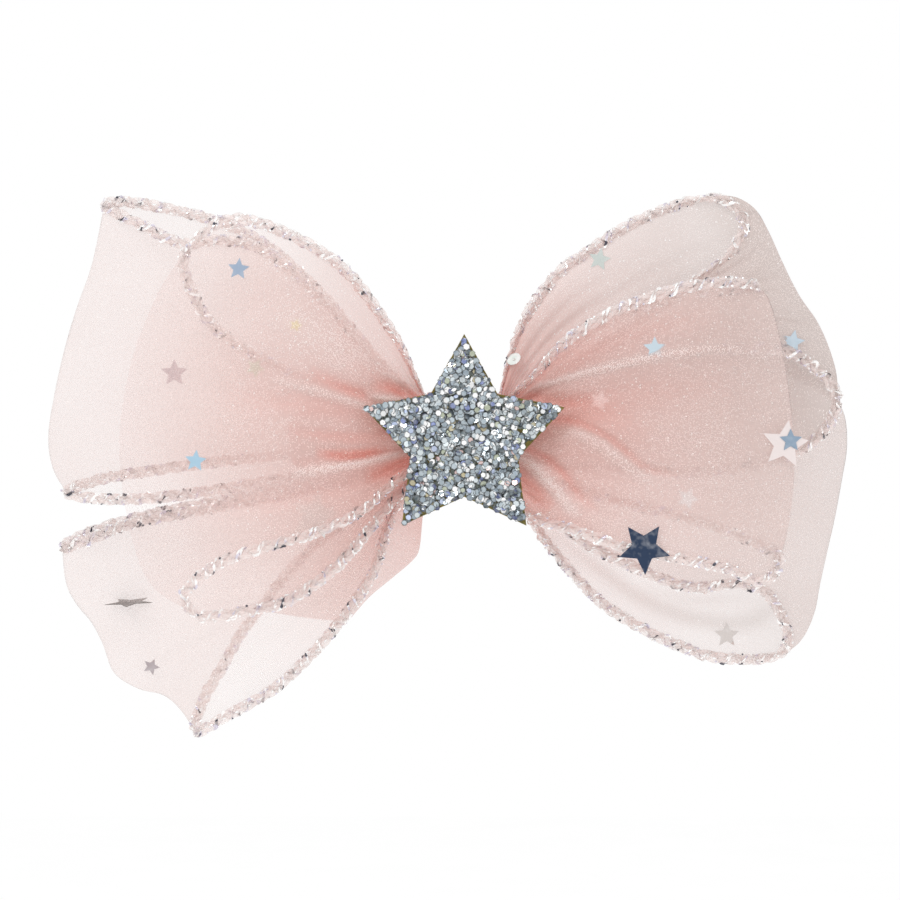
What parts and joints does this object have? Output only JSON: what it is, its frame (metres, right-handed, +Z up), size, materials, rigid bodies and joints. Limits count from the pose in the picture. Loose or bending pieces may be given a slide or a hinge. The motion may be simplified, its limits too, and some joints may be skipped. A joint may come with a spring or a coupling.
{
  "type": "hair bow",
  "caption": "Sheer ribbon hair bow with braided edges and foil stars, a glitter star at its gathered middle and a sprung clip behind.",
  "frame": {"origin": "middle of the place where the clip's jaws hold the hair, straight behind the glitter star's centre", "axes": "+X to the wearer's-side right of the bow as seen from its face, the long way of the bow and of the clip; the bow faces -Y; +Z up"},
  "size_m": [0.1086, 0.0308, 0.074],
  "materials": {
    "organza": "sheer, with a fine sparkle",
    "braid": "overlocked yarn and silver lurex",
    "foil": "mirror-bright pressed foil",
    "sequin": "pearly",
    "thread": "matt",
    "satin_ribbon": "satin",
    "glue": "set hot glue",
    "star_foam": "gold-flecked foam",
    "glitter": "coarse silver hexagonal flakes in clear resin",
    "felt": "felt",
    "clip_steel": "nickel plated",
    "spring_steel": "drawn wire"
  },
  "bodies": {
    "bow": {"loop_left_front": "organza", "loop_left_upper": "organza", "loop_left_lower": "organza", "loop_right_front": "organza", "loop_right_upper": "organza", "loop_right_lower": "organza", "edging_left_front": "braid", "edging_left_upper": "braid", "edging_left_lower": "braid", "edging_right_front": "braid", "edging_right_upper": "braid", "edging_right_lower": "braid", "foil_stars_left": "foil", "foil_stars_right": "foil", "sequin": "sequin", "waist_gather": "organza", "binding_thread": "thread", "centre_band": "satin_ribbon", "star_glue": "glue", "star_backing": "star_foam", "star_glitter": "glitter", "felt_pad": "felt", "clip_cover": "satin_ribbon", "clip_upper_jaw": "clip_steel", "hinge_pin": "clip_steel", "torsion_spring": "spring_steel"},
    "lower_jaw": {"clip_lower_jaw": "clip_steel"}
  },
  "joints": [
    {"name": "jaw_hinge", "type": "hinge", "parent": "bow", "child": "lower_jaw", "pos_m": [0.009, 0.0019, 0], "axis": [0, 0, -1], "range_deg": [0, 28], "stiffness_Nm_per_rad": 0.02, "springref_deg": -34.38, "deforming": ["torsion_spring"]}
  ]
}
